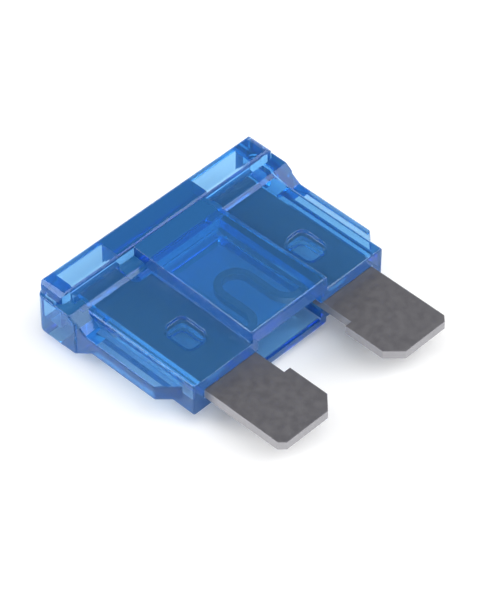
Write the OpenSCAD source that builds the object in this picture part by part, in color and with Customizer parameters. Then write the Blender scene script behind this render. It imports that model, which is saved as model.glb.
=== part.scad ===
// Regular blade fuse: a transparent moulded housing closed round one stamped fuse element.
// X runs across the two blades, +Y points away from the blade tips, +Z is the front face.
// The fuse lies on its back. The origin is under the middle of its outline, on the surface it lies on.

/* [Blades] */
// Distance over the outer edges of the two blades
blade_span = 14.55; // [14.1:0.05:14.9]
// Width of one blade
blade_w = 4.87; // [4.7:0.01:5.2]
// Thickness of the stamped sheet
blade_t = 0.65; // [0.6:0.01:0.8]
// Length of blade that stands out of the housing
blade_out = 6.35; // [5.8:0.05:7]
// Chamfer on the outer corner of a blade's tip
tip_outer = 0.4; // [0.2:0.05:0.8]
// Chamfer on the inner corner of a blade's tip
tip_inner = 1; // [0.5:0.05:1.4]
// Length of full width from the tip up to the step in the inner edge
step_l = 4.05; // [3.5:0.05:5]
// Depth of the step in the inner edge
step_d = 0.5; // [0.3:0.05:0.8]

/* [Test tabs] */
// Width of the tab that ends a blade in the head's window
tab_w = 3.05; // [2.6:0.05:3.4]
// Gap between the end of a tab and the top of the head
tab_gap = 0.95; // [0.3:0.05:1]
// Distance from the feet of the housing up to the foot of a tab
tab_y = 8.9; // [8.2:0.05:9.3]
// Radius in the corner between blade and tab
tab_r = 0.45; // [0.2:0.05:0.7]

/* [Fusible link] */
// Width of the link
link_w = 0.52; // [0.3:0.02:0.8]
// Thickness of the link, thinner than the sheet
link_t = 0.5; // [0.3:0.05:0.6]
// Radius of the bend over the top of the link, to its centre line
link_r = 1.15; // [0.9:0.05:1.3]
// Radius of the flare where a leg turns to its blade, to the centre line
flare_r = 1.15; // [0.8:0.05:1.3]
// Distance from the feet of the housing to the centre line of the link's feet
link_foot = 1.3; // [1:0.05:1.8]
// Distance from the feet of the housing to the centre line of the link's top
link_top = 5.65; // [5:0.05:7]

/* [Staking] */
// Width of the hole through a blade
stake_w = 1.6; // [1.2:0.05:2]
// Length of the hole through a blade
stake_l = 2.25; // [1.8:0.05:2.8]
// Corner radius of the hole
stake_r = 0.45; // [0.2:0.05:0.55]
// Distance of the hole from the outer edge of its blade
stake_edge = 1.25; // [1:0.05:1.6]
// Distance from the feet of the housing to the middle of the hole
stake_y = 3.65; // [2.8:0.05:4.4]
// Depth of the dent that the staking punch leaves in a wall
dent_d = 0.2; // [0.1:0.05:0.6]

/* [Housing body] */
// Height of the housing from its feet to the top of its head
housing_h = 12.2; // [11.8:0.1:12.8]
// Width of the body round the blades
body_w = 16.4; // [16:0.1:17]
// Thickness of the body round the blades
body_t = 2.5; // [2.4:0.05:2.8]
// Radius on the body's long edges
body_r = 0.2; // [0.1:0.05:0.35]

/* [Guide ribs] */
// Width over the guide ribs on the two sides
guide_span = 18.75; // [18.4:0.05:19]
// Thickness of a guide rib
guide_t = 1.1; // [0.8:0.05:1.4]
// Distance from the feet to the lower end of a guide rib
guide_y = 0.95; // [0.8:0.05:2]

/* [Head] */
// Width over the ears at the two ends of the head
ear_span = 18.95; // [18.8:0.05:19.4]
// Thickness of the ears
ear_t = 2.96; // [2.8:0.02:3.4]
// Height of the ears, from the top of the head to the ramps at their front
ear_h = 2.8; // [2.5:0.05:3.2]
// Distance that the ears reach further down at their back than at their front
ear_back = 0.6; // [0:0.05:0.8]
// Height of the ramp from an ear down to its guide rib
ramp_h = 1.35; // [1:0.05:1.6]
// Corner radius of the ears, seen from the front
ear_r = 0.6; // [0.3:0.05:0.9]
// Width of the full thickness of the head, just inside the ears
bar_w = 18.55; // [18.2:0.05:18.9]
// Thickness of the head
bar_t = 4.7; // [4.5:0.05:5.1]
// Height of the full thickness of the head
bar_h = 1.98; // [1.8:0.02:2.4]
// Radius along the edges of the head's front and back
bar_r = 0.28; // [0.15:0.01:0.4]
// Radius with which the ends of the head curve down to the ears
bar_end_r = 0.85; // [0.5:0.05:0.85]
// Corner radius of the full thickness of the head, seen from the front
bar_corner = 0.5; // [0.2:0.05:0.6]

/* [Centre panel] */
// Width of the raised panel at the feet
panel_w = 6.7; // [6.4:0.05:6.9]
// Width of the raised panel where it meets the head
panel_top_w = 6.1; // [5.9:0.05:6.7]
// Thickness through the raised panel
panel_t = 4.44; // [4.3:0.02:4.6]
// Bevel on the back lower edge of the panel
panel_bevel = 0.55; // [0.3:0.05:0.8]

/* [Windows in the head] */
// Width of a window
window_w = 3.8; // [3.5:0.05:4]
// Opening of a window across the head
window_t = 2; // [1.2:0.05:2.4]
// Depth of a window from the top of the head
window_d = 1.5; // [1.2:0.05:1.8]
// Distance between the middles of the two windows
window_pitch = 11.6; // [11.4:0.05:11.8]

/* [Cavity] */
// Width of the chamber round the link
chamber_w = 5.5; // [5.2:0.05:5.8]
// Thickness of the chamber round the link
chamber_t = 2.2; // [2:0.05:2.6]
// Height of the chamber above the feet
chamber_h = 8.6; // [8:0.05:9]
// Clearance between the element and the slot that holds it, on each side
slot_gap = 0.05; // [0.03:0.01:0.1]

/* [Hidden] */
$fn = 48;
LIP = 1;
length = blade_out + housing_h;
inner_x = blade_span/2 - blade_w;
outer_x = blade_span/2;
neck_x = inner_x + step_d;
tab_x = outer_x - tab_w;
stake_x = outer_x - stake_edge - stake_w/2;
window_x = window_pitch/2;
tab_end = housing_h - tab_gap;
bore = blade_t + 2*slot_gap;
guide_step = (guide_span - body_w)/2;

// Puts a shape drawn about the sheet's mid-plane, with the feet at y = 0, into the part's frame
module placed() {
    translate([0, blade_out - length/2, bar_t/2]) children();
}

// Draws a shape for the right side and again, mirrored, for the left side
module both_sides() {
    children();
    mirror([1, 0, 0]) children();
}

// Rectangle about the origin with round corners
module round_rectangle(width, height, radius) {
    square([width - 2*radius, height], center = true);
    square([width, height - 2*radius], center = true);
    for (x = [-1, 1], y = [-1, 1])
        translate([x*(width/2 - radius), y*(height/2 - radius)]) circle(radius);
}

// Outline of the ears and guide ribs from the front, with the ribs' lower ends at 45 degrees
module wing_outline() {
    ear_foot = housing_h - ear_h - ear_back;
    difference() {
        union() {
            polygon([[0, guide_y], [body_w/2, guide_y], [guide_span/2, guide_y + guide_step],
                     [guide_span/2, ear_foot], [ear_span/2, ear_foot],
                     [ear_span/2, housing_h - ear_r], [ear_span/2 - ear_r, housing_h], [0, housing_h]]);
            translate([ear_span/2 - ear_r, housing_h - ear_r]) circle(ear_r);
        }
        translate([-LIP, -LIP]) square([LIP, housing_h + 2*LIP]);
    }
}

// Ears and guide ribs from the side, with the ramp between them
module wing_section() {
    front = housing_h - ear_h;
    back = front - ear_back;
    polygon([[0, guide_t/2], [front - ramp_h, guide_t/2], [front, ear_t/2], [housing_h, ear_t/2],
             [housing_h, -ear_t/2], [back, -ear_t/2], [back - ramp_h, -guide_t/2], [0, -guide_t/2]]);
}

// Ear and guide rib of the right side
module wing() {
    intersection() {
        linear_extrude(bar_t, center = true) wing_outline();
        rotate([90, 0, 90]) linear_extrude(ear_span) wing_section();
    }
}

// Thicker middle of the housing that holds the blades
module body() {
    translate([0, (housing_h - bar_h)/2 + LIP/2, 0])
        rotate([90, 0, 0]) linear_extrude(housing_h - bar_h + LIP, center = true)
            round_rectangle(body_w, body_t, body_r);
}

// Full thickness of the head, round along its edges, with ends that curve down to the ears
module head_bar() {
    translate([0, housing_h - bar_h/2, 0]) intersection() {
        rotate([90, 0, 90]) linear_extrude(bar_w, center = true) round_rectangle(bar_h, bar_t, bar_r);
        rotate([90, 0, 0]) linear_extrude(bar_h, center = true) round_rectangle(bar_w, bar_t, bar_end_r);
        linear_extrude(bar_t, center = true) round_rectangle(bar_w, bar_h, bar_corner);
    }
}

// Raised panel over the link, narrower at its top and bevelled at the back of its lower edge
module panel() {
    top = housing_h - bar_h/2;
    intersection() {
        linear_extrude(panel_t, center = true)
            polygon([[-panel_w/2, 0], [panel_w/2, 0], [panel_top_w/2, top], [-panel_top_w/2, top]]);
        rotate([90, 0, 90]) linear_extrude(panel_w, center = true)
            polygon([[0, panel_t/2], [top, panel_t/2], [top, -panel_t/2],
                     [panel_bevel, -panel_t/2], [0, panel_bevel - panel_t/2]]);
    }
}

// Right half of the slot for the element: wide round the blade, narrow round its tab
module slot_outline() {
    wide = outer_x + slot_gap;
    narrow = tab_x - slot_gap;
    wide_top = tab_y + slot_gap;
    polygon([[-slot_gap, -LIP], [wide, -LIP], [wide, housing_h - window_d/2], [narrow, housing_h - window_d/2],
             [narrow, wide_top + tab_r], [narrow - tab_r, wide_top], [-slot_gap, wide_top]]);
}

// Slot for the element, the chamber round the link and the windows over the tabs
module cavity() {
    translate([-chamber_w/2, -LIP, -chamber_t/2]) cube([chamber_w, chamber_h + LIP, chamber_t]);
    both_sides() {
        linear_extrude(bore, center = true) slot_outline();
        translate([window_x - window_w/2, housing_h - window_d, -window_t/2])
            cube([window_w, window_d + LIP, window_t]);
    }
}

// Hole through a blade, or with a margin below zero the plastic that fills it
module stake_hole(margin, height) {
    translate([stake_x, stake_y, 0]) linear_extrude(height, center = true)
        round_rectangle(stake_w + 2*margin, stake_l + 2*margin, stake_r + margin);
}

module housing() {
    color([0.17, 0.42, 0.75, 0.6]) placed() {
        difference() {
            union() {
                both_sides() wing();
                body();
                head_bar();
                panel();
            }
            cavity();
            both_sides() for (face = [-1, 1])
                translate([0, 0, face*(body_t - dent_d + LIP)/2]) stake_hole(0, dent_d + LIP);
        }
        both_sides() stake_hole(-slot_gap, bore + 2*slot_gap);
    }
}

// Right blade with its chamfered tip, stepped inner edge and test tab
module blade_outline() {
    difference() {
        polygon([[inner_x + tip_inner, -blade_out], [outer_x - tip_outer, -blade_out],
                 [outer_x, tip_outer - blade_out], [outer_x, tab_end], [tab_x, tab_end],
                 [tab_x, tab_y + tab_r], [tab_x - tab_r, tab_y], [neck_x, tab_y],
                 [neck_x, step_l - blade_out], [inner_x, step_l - blade_out],
                 [inner_x, tip_inner - blade_out]]);
        translate([tab_x - tab_r, tab_y + tab_r]) circle(tab_r);
        translate([stake_x, stake_y]) round_rectangle(stake_w, stake_l, stake_r);
    }
}

// Quarter of a ring strip about the origin, in the quadrant given by two signs
module strip_bend(radius, x, y) {
    intersection() {
        difference() {
            circle(radius + link_w/2);
            circle(radius - link_w/2);
        }
        translate([x < 0 ? -2*radius : 0, y < 0 ? -2*radius : 0]) square(2*radius);
    }
}

// Right half of the link: over the top, down the leg, and out to the blade
module link_outline() {
    bend_y = link_top - link_r;
    flare_y = link_foot + flare_r;
    translate([0, bend_y]) strip_bend(link_r, 1, 1);
    translate([link_r - link_w/2, flare_y]) square([link_w, bend_y - flare_y]);
    translate([link_r + flare_r, flare_y]) strip_bend(flare_r, -1, -1);
    translate([link_r + flare_r, link_foot - link_w/2]) square([neck_x - link_r - flare_r + slot_gap, link_w]);
}

module fuse_element() {
    color([0.42, 0.42, 0.43]) placed() {
        both_sides() {
            linear_extrude(blade_t, center = true) blade_outline();
            linear_extrude(link_t, center = true) link_outline();
        }
    }
}

housing();
fuse_element();
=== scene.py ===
"""Looks for the automotive blade fuse: tinted moulding, stamped zinc, studio and camera.

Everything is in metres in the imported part's frame: X across the blades, +Y from the blade
tips to the head, +Z out of the front face, and the fuse lies on its back at Z = 0.
Roundings, the bounds that pick out edges and the link, and lengths whose names end in mm
are in millimetres.
"""

import logging
import math
from dataclasses import dataclass, field
from enum import Enum

import bmesh
import bpy
import numpy as np
from mathutils import Matrix, Vector


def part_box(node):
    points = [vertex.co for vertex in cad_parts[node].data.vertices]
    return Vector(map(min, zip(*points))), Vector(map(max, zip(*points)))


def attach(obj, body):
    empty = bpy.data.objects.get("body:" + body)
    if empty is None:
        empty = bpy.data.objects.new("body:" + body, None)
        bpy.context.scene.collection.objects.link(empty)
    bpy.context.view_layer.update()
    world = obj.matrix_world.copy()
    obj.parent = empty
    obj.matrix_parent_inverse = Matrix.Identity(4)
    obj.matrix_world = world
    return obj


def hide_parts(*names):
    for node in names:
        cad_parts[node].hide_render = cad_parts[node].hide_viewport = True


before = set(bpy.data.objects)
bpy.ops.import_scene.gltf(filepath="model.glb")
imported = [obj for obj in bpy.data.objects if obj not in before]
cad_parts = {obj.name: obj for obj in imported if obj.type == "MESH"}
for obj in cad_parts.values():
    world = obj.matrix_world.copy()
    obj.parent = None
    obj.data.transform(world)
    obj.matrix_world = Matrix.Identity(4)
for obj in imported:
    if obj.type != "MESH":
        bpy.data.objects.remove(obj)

MM = 0.001
IMAGE_HEIGHT_PX = 600
SENSOR_MM = 36.0
# Light crosses many walls of the clear moulding, and with too few bounces some turn black
LIGHT_BOUNCES = 48
# Points closer than this are one
WELD_MM = 1e-4
# Faces that bend less than this are one flat face
FLAT_DEG = 0.4
# Edges that bend more than this are broken by the tool maker
BROKEN_DEG = 25.0
# Edges that rise less than this lie flat
LEVEL_MM = 1e-3
LOG = logging.getLogger("blade_fuse")
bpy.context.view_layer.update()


class Rounding(Enum):
    """Radius in millimetres for the edges that a tool maker breaks."""

    PANEL = 0.2
    OUTSIDE = 0.12
    DENT = 0.095
    PUNCHED = 0.16
    STAMPED = 0.05


def linear(code: str) -> tuple[float, float, float, float]:
    """Turns an sRGB hex colour to linear light.

    Args:
        code: six hex digits after a hash.

    Returns:
        Red, green, blue and an alpha of 1.
    """
    raw = np.array([int(code[i:i + 2], 16) for i in (1, 3, 5)]) / 255
    value = np.where(raw <= 0.04045, raw / 12.92, ((raw + 0.055) / 1.055) ** 2.4)
    return (*(float(v) for v in value), 1.0)


def add_node(tree: bpy.types.NodeTree, kind: str, settings: dict | None = None,
             links: dict | None = None) -> bpy.types.Node:
    """Adds one node with its settings and the sockets that feed it.

    Args:
        tree: the node tree that it goes into.
        kind: Blender's name for the node type.
        settings: node properties, and values of input sockets by name or number.
        links: source socket for each input socket by name or number.

    Returns:
        The new node.
    """
    node = tree.nodes.new(kind)
    for key, value in (settings or {}).items():
        if isinstance(key, str) and hasattr(node, key):
            setattr(node, key, value)
        else:
            node.inputs[key].default_value = value
    for key, source in (links or {}).items():
        tree.links.new(source, node.inputs[key])
    return node


def new_tree(material: bpy.types.Material) -> bpy.types.NodeTree:
    """Empties a material's node tree and returns it."""
    material.use_nodes = True
    material.node_tree.nodes.clear()
    return material.node_tree


@dataclass(frozen=True)
class MouldedPolycarbonate:
    """Injection-moulded transparent polycarbonate, dyed blue.

    Polycarbonate bends light more than acrylic, so walls and edges show as bright and dark
    lines. The dye takes red first, so a thin wall looks pale sky blue and a thick one navy.
    The dyed skin lays a faint blue bloom over the surface and cools its glints. Flow marks
    from the mould make the faces very slightly wavy, and scuffs dull them in patches. Of
    each noise, detail is the number of its levels, and weight is what a level adds as a
    share of the coarser one.
    """

    ior: float = 1.585
    roughness: float = 0.03
    haze_roughness: float = 0.09
    red_per_mm: float = 0.72
    green_per_mm: float = 0.275
    blue_per_mm: float = 0.05
    flow_mm: float = 1.6
    flow_detail: float = 2.0
    flow_weight: float = 0.45
    flow_depth_mm: float = 0.006
    flow_strength: float = 0.35
    scuff_mm: float = 0.5
    scuff_detail: float = 4.0
    scuff_weight: float = 0.6
    scuff_span: tuple[float, float] = (0.45, 0.75)
    bloom: float = 0.34
    bloom_colour: str = "#5AB0FF"
    glint_colour: str = "#E2F2FF"

    def build(self) -> bpy.types.Material:
        """Builds the material.

        Returns:
            Glass-like shader with the dye as absorption through its depth.
        """
        material = bpy.data.materials.new("moulded_blue_polycarbonate")
        tree = new_tree(material)
        place = add_node(tree, "ShaderNodeTexCoord").outputs["Object"]
        flow = add_node(tree, "ShaderNodeTexNoise",
                        {"Scale": 1 / (self.flow_mm * MM), "Detail": self.flow_detail,
                         "Roughness": self.flow_weight}, {"Vector": place})
        scuff = add_node(tree, "ShaderNodeTexNoise",
                         {"Scale": 1 / (self.scuff_mm * MM), "Detail": self.scuff_detail,
                          "Roughness": self.scuff_weight}, {"Vector": place})
        rough = add_node(tree, "ShaderNodeMapRange",
                         {"From Min": self.scuff_span[0], "From Max": self.scuff_span[1],
                          "To Min": self.roughness, "To Max": self.haze_roughness},
                         {"Value": scuff.outputs["Fac"]})
        bump = add_node(tree, "ShaderNodeBump",
                        {"Strength": self.flow_strength, "Distance": self.flow_depth_mm * MM},
                        {"Height": flow.outputs["Fac"]})
        shader = add_node(tree, "ShaderNodeBsdfPrincipled",
                          {"Base Color": (1.0, 1.0, 1.0, 1.0), "IOR": self.ior,
                           "Transmission Weight": 1.0, "Sheen Weight": self.bloom,
                           "Specular Tint": linear(self.glint_colour),
                           "Sheen Roughness": 1.0, "Sheen Tint": linear(self.bloom_colour)},
                          {"Roughness": rough.outputs["Result"], "Normal": bump.outputs["Normal"]})
        takes = np.array([self.red_per_mm, self.green_per_mm, self.blue_per_mm]) / MM
        density = float(takes.max())
        left = [float(v) for v in 1 - takes / density]
        dye = add_node(tree, "ShaderNodeVolumeAbsorption",
                       {"Color": (*left, 1.0), "Density": density})
        add_node(tree, "ShaderNodeOutputMaterial", {},
                 {"Surface": shader.outputs["BSDF"], "Volume": dye.outputs["Volume"]})
        return material


@dataclass(frozen=True)
class StampedZinc:
    """Rolled zinc alloy strip, stamped and left bare.

    Bare zinc dulls to an even mid grey with faint clouds under a thin matt oxide, and rolling
    leaves fine straight grain along the strip, so it shines softly and never like a mirror.
    The link is thinned below the blades and drawn lighter, partly for its smoother surface
    and partly as a painted highlight. The blades' cut sides, faces whose normal rises less than
    a set limit, are drawn lighter too, partly as bright fresh shear and partly as a painted
    highlight. Detail and weight are as for the polycarbonate.
    """

    metallic: float = 0.65
    grey: str = "#767579"
    dull: str = "#706F74"
    # Lighter colour of the link: partly its smoother surface, partly a painted highlight
    link_tone_and_highlight: str = "#908F94"
    lighter_link_half_x: float = 2.3
    # Lighter colour of the blades' cut sides: partly bright fresh shear, partly a painted highlight
    shear_and_highlight: str = "#A3A2A6"
    lighter_side_rise: float = 0.4
    cloud_mm: float = 0.55
    cloud_detail: float = 4.0
    cloud_weight: float = 0.5
    tone_span: tuple[float, float] = (0.36, 0.64)
    shine_span: tuple[float, float] = (0.35, 0.65)
    grain_mm: float = 0.05
    grain_stretch: float = 14.0
    grain_detail: float = 3.0
    grain_weight: float = 0.5
    grain_depth_mm: float = 0.01
    grain_strength: float = 0.12
    roughness: float = 0.45
    dull_roughness: float = 0.54

    def build(self) -> bpy.types.Material:
        """Builds the material.

        Returns:
            Metallic shader with clouds, grain and uneven shine.
        """
        material = bpy.data.materials.new("stamped_bare_zinc")
        tree = new_tree(material)
        spot = add_node(tree, "ShaderNodeTexCoord")
        place = spot.outputs["Object"]
        cloud = add_node(tree, "ShaderNodeTexNoise",
                         {"Scale": 1 / (self.cloud_mm * MM), "Detail": self.cloud_detail,
                          "Roughness": self.cloud_weight}, {"Vector": place})
        along = add_node(tree, "ShaderNodeMapping",
                         {"Scale": (1.0, 1 / self.grain_stretch, 1.0)}, {"Vector": place})
        grain = add_node(tree, "ShaderNodeTexNoise",
                         {"Scale": 1 / (self.grain_mm * MM), "Detail": self.grain_detail,
                          "Roughness": self.grain_weight}, {"Vector": along.outputs["Vector"]})
        tone = add_node(tree, "ShaderNodeValToRGB", {}, {"Fac": cloud.outputs["Fac"]})
        tones = (self.dull, self.grey)
        for stop, position, code in zip(tone.color_ramp.elements, self.tone_span, tones):
            stop.position = position
            stop.color = linear(code)
        across = add_node(tree, "ShaderNodeSeparateXYZ", {}, {0: place}).outputs["X"]
        across = add_node(tree, "ShaderNodeMath", {"operation": "ABSOLUTE"}, {0: across})
        # Painted highlight, partly real: the link's middle, within the half width, takes the
        # lighter zinc colour
        link = add_node(tree, "ShaderNodeMath",
                        {"operation": "LESS_THAN", 1: self.lighter_link_half_x * MM},
                        {0: across.outputs[0]})
        colour = add_node(tree, "ShaderNodeMix", {"data_type": "RGBA", 7: linear(self.link_tone_and_highlight)},
                          {0: link.outputs[0], 6: tone.outputs["Color"]}).outputs[2]
        # Painted highlight, partly real: faces whose normal rises little, the cut sides, take a
        # lighter colour
        rise = add_node(tree, "ShaderNodeSeparateXYZ", {}, {0: spot.outputs["Normal"]}).outputs["Z"]
        rise = add_node(tree, "ShaderNodeMath", {"operation": "ABSOLUTE"}, {0: rise})
        edge = add_node(tree, "ShaderNodeMath", {"operation": "LESS_THAN", 1: self.lighter_side_rise},
                        {0: rise.outputs[0]})
        colour = add_node(tree, "ShaderNodeMix", {"data_type": "RGBA", 7: linear(self.shear_and_highlight)},
                          {0: edge.outputs[0], 6: colour}).outputs[2]
        rough = add_node(tree, "ShaderNodeMapRange",
                         {"From Min": self.shine_span[0], "From Max": self.shine_span[1],
                          "To Min": self.roughness, "To Max": self.dull_roughness},
                         {"Value": cloud.outputs["Fac"]})
        bump = add_node(tree, "ShaderNodeBump",
                        {"Strength": self.grain_strength, "Distance": self.grain_depth_mm * MM},
                        {"Height": grain.outputs["Fac"]})
        shader = add_node(tree, "ShaderNodeBsdfPrincipled", {"Metallic": self.metallic},
                          {"Base Color": colour,
                           "Roughness": rough.outputs["Result"], "Normal": bump.outputs["Normal"]})
        add_node(tree, "ShaderNodeOutputMaterial", {}, {"Surface": shader.outputs["BSDF"]})
        return material


@dataclass(frozen=True)
class StudioPaper:
    """Matt white background paper, which shows white and still takes the fuse's soft shadow."""

    colour: str = "#FAFAFA"
    lift: float = 0.1

    def build(self) -> bpy.types.Material:
        """Builds the material.

        Returns:
            Matt shader with a lift to white for camera, mirrored and transmitted rays.
        """
        material = bpy.data.materials.new("white_studio_paper")
        tree = new_tree(material)
        rays = add_node(tree, "ShaderNodeLightPath")
        seen = add_node(tree, "ShaderNodeMath", {"operation": "MAXIMUM"},
                        {0: rays.outputs["Is Camera Ray"], 1: rays.outputs["Is Glossy Ray"]})
        seen = add_node(tree, "ShaderNodeMath", {"operation": "MAXIMUM"},
                        {0: seen.outputs[0], 1: rays.outputs["Is Transmission Ray"]})
        amount = add_node(tree, "ShaderNodeMath", {"operation": "MULTIPLY", 1: self.lift},
                          {0: seen.outputs[0]})
        paper = add_node(tree, "ShaderNodeBsdfDiffuse", {"Color": linear(self.colour)})
        glow = add_node(tree, "ShaderNodeEmission", {}, {"Strength": amount.outputs[0]})
        both = add_node(tree, "ShaderNodeAddShader", {},
                        {0: paper.outputs["BSDF"], 1: glow.outputs["Emission"]})
        add_node(tree, "ShaderNodeOutputMaterial", {}, {"Surface": both.outputs["Shader"]})
        return material


def mesh_object(name: str, points: np.ndarray, faces: np.ndarray) -> bpy.types.Object:
    """Makes an object at the origin from arrays.

    Args:
        name: the object's name.
        points: vertices, one row each.
        faces: vertex numbers, one row per face.

    Returns:
        The linked object.
    """
    mesh = bpy.data.meshes.new(name)
    mesh.from_pydata(points.tolist(), [], faces.tolist())
    made = bpy.data.objects.new(name, mesh)
    bpy.context.scene.collection.objects.link(made)
    return made


def merged_copy(node: str, name: str) -> bpy.types.Object:
    """Copies a CAD node, merges its loose triangles and joins those that lie in one plane.

    Args:
        node: the CAD node.
        name: the copy's name.

    Returns:
        The copy, in millimetres so that small bevels stay exact.
    """
    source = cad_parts[node].data
    mesh = source.copy()
    mesh.name = name
    mesh.transform(Matrix.Scale(1 / MM, 4))
    if mesh.has_custom_normals:
        mesh.attributes.remove(mesh.attributes["custom_normal"])
    work = bmesh.new()
    work.from_mesh(mesh)
    bmesh.ops.remove_doubles(work, verts=work.verts, dist=WELD_MM)
    bmesh.ops.dissolve_limit(work, angle_limit=math.radians(FLAT_DEG), verts=work.verts,
                             edges=work.edges, use_dissolve_boundaries=False)
    work.to_mesh(mesh)
    work.free()
    made = bpy.data.objects.new(name, mesh)
    bpy.context.scene.collection.objects.link(made)
    return made


def read(items: bpy.types.bpy_prop_collection, name: str, kind: type,
         width: int = 1) -> np.ndarray:
    """Reads one property of all items of a mesh at once.

    Args:
        items: the mesh's points, edges, faces or face corners.
        name: the property.
        kind: type of its numbers.
        width: numbers per item.

    Returns:
        One row per item, or a flat array where the width is 1.
    """
    values = np.empty(len(items) * width, kind)
    items.foreach_get(name, values)
    return values.reshape(-1, width) if width > 1 else values


def edge_table(mesh: bpy.types.Mesh) -> dict[str, np.ndarray]:
    """Measures a closed mesh's edges.

    An edge's bend is the angle between its two faces' normals. It is convex where the first
    normal crossed with the second points the way that the first face runs along the edge.

    Args:
        mesh: closed mesh in which each edge has two faces.

    Returns:
        Arrays by name: low and high corner of each edge, bend in degrees and convex flag.
    """
    totals = read(mesh.polygons, "loop_total", np.int32)
    face_of = np.repeat(np.arange(len(totals)), totals)
    order = np.argsort(read(mesh.loops, "edge_index", np.int32), kind="stable")
    pairs = face_of[order].reshape(-1, 2)
    start = read(mesh.loops, "vertex_index", np.int32)[order].reshape(-1, 2)[:, 0]
    normals = read(mesh.polygons, "normal", np.float64, 3)
    ends = read(mesh.edges, "vertices", np.int32, 2)
    a, b = read(mesh.vertices, "co", np.float64, 3)[ends].transpose(1, 0, 2)
    along = (b - a) * np.where(ends[:, 0] == start, 1.0, -1.0)[:, None]
    first, second = normals[pairs[:, 0]], normals[pairs[:, 1]]
    bend = np.degrees(np.arccos(np.clip((first * second).sum(1), -1, 1)))
    convex = (np.cross(first, second) * along).sum(1) > 0
    return {"low": np.minimum(a, b), "high": np.maximum(a, b), "bend": bend, "convex": convex}


def rounded(source: bpy.types.Object, radius: np.ndarray, segments: int) -> bpy.types.Object:
    """Rounds the edges that have a radius and brings the piece back to metres.

    Args:
        source: object in millimetres, replaced by the result.
        radius: radius of each edge in millimetres, 0 where it isn't rounded.
        segments: steps across a rounding.

    Returns:
        The finished object at the origin, unscaled.
    """
    mesh = source.data
    widest = radius.max()
    weight = mesh.attributes.new("bevel_weight_edge", "FLOAT", "EDGE")
    weight.data.foreach_set("value", (radius / widest).astype(np.float32))
    mesh.polygons.foreach_set("use_smooth", np.zeros(len(mesh.polygons), bool))
    bevel = source.modifiers.new("rounding", "BEVEL")
    bevel.limit_method = "WEIGHT"
    bevel.width = widest
    bevel.segments = segments
    bevel.use_clamp_overlap = False
    made = bpy.data.meshes.new_from_object(
        source.evaluated_get(bpy.context.evaluated_depsgraph_get()))
    made.transform(Matrix.Scale(MM, 4))
    name = source.name
    bpy.data.objects.remove(source)
    made.name = name
    piece = bpy.data.objects.new(name, made)
    bpy.context.scene.collection.objects.link(piece)
    return piece


@dataclass
class Housing:
    """The moulded housing: head, ears, guide ribs, panel, windows and chamber in one piece.

    Bounds measured from its middle pick out its edges. Those of the chamber, the slots and
    the head's end corners stay as the CAD has them, and the panel and the dents over the
    blades' holes have radii of their own.
    """

    finish: MouldedPolycarbonate = field(default_factory=MouldedPolycarbonate)
    segments: int = 4
    cavity_half_x: float = 7.4
    cavity_half_z: float = 1.12
    panel_half_x: float = 3.4
    dent_bend_deg: float = 60.0
    dent_z: float = 1.26
    dent_floor_z: float = 1.0
    dent_low: float = -1.0
    dent_high: float = 2.6
    dent_reach: float = 7.0
    corner_x: float = 8.3
    corner_z: float = 1.9

    def build(self) -> bpy.types.Object:
        """Rounds the moulding's outside edges and dresses it.

        Returns:
            The finished piece, which stands for the CAD node.
        """
        piece = merged_copy("housing", "moulded_housing")
        table = edge_table(piece.data)
        low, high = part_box("housing")
        middle = np.array([0, 0, (low.z + high.z) / 2 / MM])
        from_low = np.abs(table["low"] - middle)
        reach = np.maximum(from_low, np.abs(table["high"] - middle))
        cavity = (reach[:, 0] < self.cavity_half_x) & (reach[:, 2] < self.cavity_half_z)
        corner = (reach[:, 0] > self.corner_x) & (reach[:, 2] > self.corner_z)
        bent = (table["bend"] > BROKEN_DEG) & table["convex"] & ~cavity & ~corner
        panel = bent & (reach[:, 0] < self.panel_half_x)
        dent = (table["bend"] > self.dent_bend_deg) & (reach[:, 2] < self.dent_z)
        dent &= from_low[:, 2] > self.dent_floor_z
        dent &= (table["low"][:, 1] > self.dent_low) & (table["high"][:, 1] < self.dent_high)
        dent &= (from_low[:, 0] > self.panel_half_x) & (reach[:, 0] < self.dent_reach)
        radius = np.zeros(len(bent))
        for edges, rounding in ((bent, Rounding.OUTSIDE), (panel, Rounding.PANEL),
                                (dent, Rounding.DENT)):
            radius[edges] = rounding.value
        piece = rounded(piece, radius, self.segments)
        piece.data.materials.clear()
        piece.data.materials.append(self.finish.build())
        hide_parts("housing")
        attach(piece, "root")
        return piece


@dataclass
class FuseElement:
    """The stamped element: two blades with tabs, and the looped link between them.

    The punch draws its edges in a little at the blades and more at their holes. The link
    stays sharp.
    """

    finish: StampedZinc = field(default_factory=StampedZinc)
    segments: int = 3
    link_half_x: float = 2.36
    hole_x: tuple[float, float] = (4.3, 6.1)
    hole_y: tuple[float, float] = (-0.5, 1.95)

    def build(self) -> bpy.types.Object:
        """Breaks the stamping's edges and dresses it.

        Returns:
            The finished piece, which stands for the CAD node.
        """
        piece = merged_copy("fuse_element", "stamped_element")
        table = edge_table(piece.data)
        flat = table["high"][:, 2] - table["low"][:, 2] < LEVEL_MM
        bent = (table["bend"] > BROKEN_DEG) & table["convex"] & flat
        near = np.minimum(np.abs(table["low"]), np.abs(table["high"]))[:, 0]
        far = np.maximum(np.abs(table["low"]), np.abs(table["high"]))[:, 0]
        hole = (near > self.hole_x[0]) & (far < self.hole_x[1])
        hole &= (table["low"][:, 1] > self.hole_y[0]) & (table["high"][:, 1] < self.hole_y[1])
        radius = np.where(bent & (near > self.link_half_x), Rounding.STAMPED.value, 0.0)
        radius[bent & hole] = Rounding.PUNCHED.value
        piece = rounded(piece, radius, self.segments)
        piece.data.materials.clear()
        piece.data.materials.append(self.finish.build())
        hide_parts("fuse_element")
        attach(piece, "root")
        return piece


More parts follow.
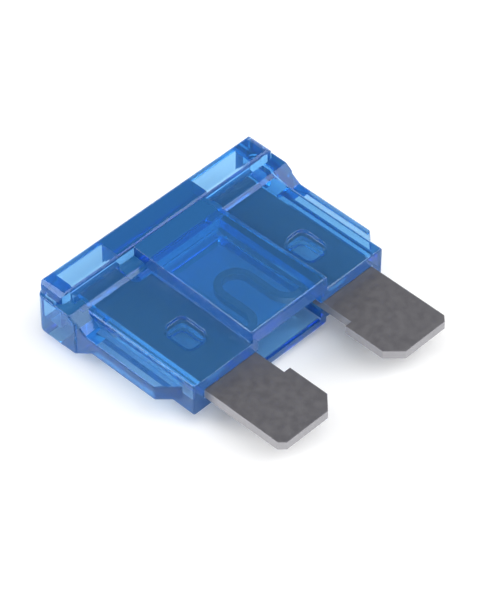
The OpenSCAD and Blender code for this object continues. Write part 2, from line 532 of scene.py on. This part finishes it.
@dataclass
class Studio:
    """Paper floor, soft lamps, and a room with white walls under a dim ceiling.

    The fuse's flat tops mirror the ceiling, so a bright one would wash out their blue. Each
    lamp has its name, its place and side in metres, and its watts.
    """

    floor_half: float = 0.16
    paper: StudioPaper = field(default_factory=StudioPaper)
    wall_level: float = 1.0
    ceiling_level: float = 0.1
    wall_top_deg: tuple[float, float] = (20.0, 38.0)
    lamps: tuple[tuple[str, tuple[float, float, float], float, float], ...] = (
        ("overhead", (-0.04, -0.12, 0.34), 0.32, 0.7),
        ("front_right", (0.19, -0.17, 0.22), 0.24, 0.6),
        ("back_left", (-0.22, 0.18, 0.20), 0.22, 0.7),
    )

    def build(self) -> None:
        """Builds floor, world and lamps."""
        self.build_floor()
        self.build_world()
        for name, place, side, watts in self.lamps:
            self.build_lamp(name, place, side, watts)

    def build_floor(self) -> None:
        """Lays the flat paper under the fuse."""
        h = self.floor_half
        corners = np.array([[-h, -h, 0], [h, -h, 0], [h, h, 0], [-h, h, 0]])
        floor = mesh_object("studio_paper", corners, np.array([[0, 1, 2, 3]]))
        floor.data.materials.append(self.paper.build())

    def build_world(self) -> None:
        """Surrounds the fuse with white walls to a low height, under a dim ceiling."""
        world = bpy.data.worlds.new("soft_room")
        bpy.context.scene.world = world
        world.use_nodes = True
        tree = world.node_tree
        tree.nodes.clear()
        way = add_node(tree, "ShaderNodeTexCoord").outputs["Generated"]
        height = add_node(tree, "ShaderNodeSeparateXYZ", {}, {0: way}).outputs["Z"]
        low, high = (math.sin(math.radians(v)) for v in self.wall_top_deg)
        level = add_node(tree, "ShaderNodeMapRange",
                         {"interpolation_type": "SMOOTHSTEP", "From Min": low, "From Max": high,
                          "To Min": self.wall_level, "To Max": self.ceiling_level},
                         {"Value": height})
        sky = add_node(tree, "ShaderNodeBackground", {"Color": (1.0, 1.0, 1.0, 1.0)},
                       {"Strength": level.outputs["Result"]})
        add_node(tree, "ShaderNodeOutputWorld", {}, {"Surface": sky.outputs["Background"]})

    def build_lamp(self, name: str, place: tuple[float, float, float], side: float,
                   watts: float) -> None:
        """Hangs one square soft box, aimed at the fuse.

        Args:
            name: the lamp's name.
            place: its middle in metres.
            side: its side in metres.
            watts: its power.
        """
        lamp = bpy.data.lights.new(name, "AREA")
        lamp.shape = "SQUARE"
        lamp.size = side
        lamp.energy = watts
        held = bpy.data.objects.new(name, lamp)
        held.matrix_world = (Matrix.Translation(place)
                             @ (-Vector(place)).to_track_quat("-Z", "Y").to_matrix().to_4x4())
        bpy.context.scene.collection.objects.link(held)


@dataclass
class PhotoCamera:
    """Camera at the photograph's viewing angle, fitted to the fuse's edges.

    The angles turn round the middle of the blades' plane at the tips, and pan is the shift
    of the aim along the picture's right and up, in millimetres.
    """

    azimuth_deg: float = -46.13
    elevation_deg: float = 45.39
    roll_deg: float = 0.43
    pan_mm: tuple[float, float] = (-6.96, 5.02)
    distance_mm: float = 199.8
    focal_px: float = 3368.0
    pivot_mm: tuple[float, float, float] = (0.0, -9.275, 2.35)
    clip_m: tuple[float, float] = (0.01, 10.0)

    def build(self) -> None:
        """Makes the camera and sets it as the scene's."""
        a, e, r = (math.radians(v) for v in (self.azimuth_deg, self.elevation_deg, self.roll_deg))
        back = np.array([math.sin(a) * math.cos(e), -math.cos(a) * math.cos(e), math.sin(e)])
        right = np.array([math.cos(a), math.sin(a), 0.0])
        up = np.cross(back, right)
        right, up = (right * math.cos(r) + up * math.sin(r), up * math.cos(r) - right * math.sin(r))
        eye = right * self.pan_mm[0] + up * self.pan_mm[1] + back * self.distance_mm
        turn = np.eye(4)
        turn[:3, :3] = np.stack([right, up, back], axis=1)
        turn[:3, 3] = (eye + np.array(self.pivot_mm)) * MM
        data = bpy.data.cameras.new("photo_camera")
        data.sensor_fit = "AUTO"
        data.sensor_width = SENSOR_MM
        data.lens = self.focal_px / IMAGE_HEIGHT_PX * SENSOR_MM
        data.clip_start, data.clip_end = self.clip_m
        camera = bpy.data.objects.new("photo_camera", data)
        camera.matrix_world = Matrix(turn.tolist())
        bpy.context.scene.collection.objects.link(camera)
        bpy.context.scene.camera = camera


def main() -> None:
    """Builds the pieces, the studio and the camera."""
    logging.basicConfig(level=logging.INFO, format="%(name)s: %(message)s")
    scene = bpy.context.scene
    scene.view_settings.view_transform = "Standard"
    scene.cycles.max_bounces = scene.cycles.transmission_bounces = LIGHT_BOUNCES
    for part in (Housing(), FuseElement()):
        piece = part.build()
        LOG.info("%s: %d faces", piece.name, len(piece.data.polygons))
    Studio().build()
    PhotoCamera().build()


if __name__ == "__main__":
    main()
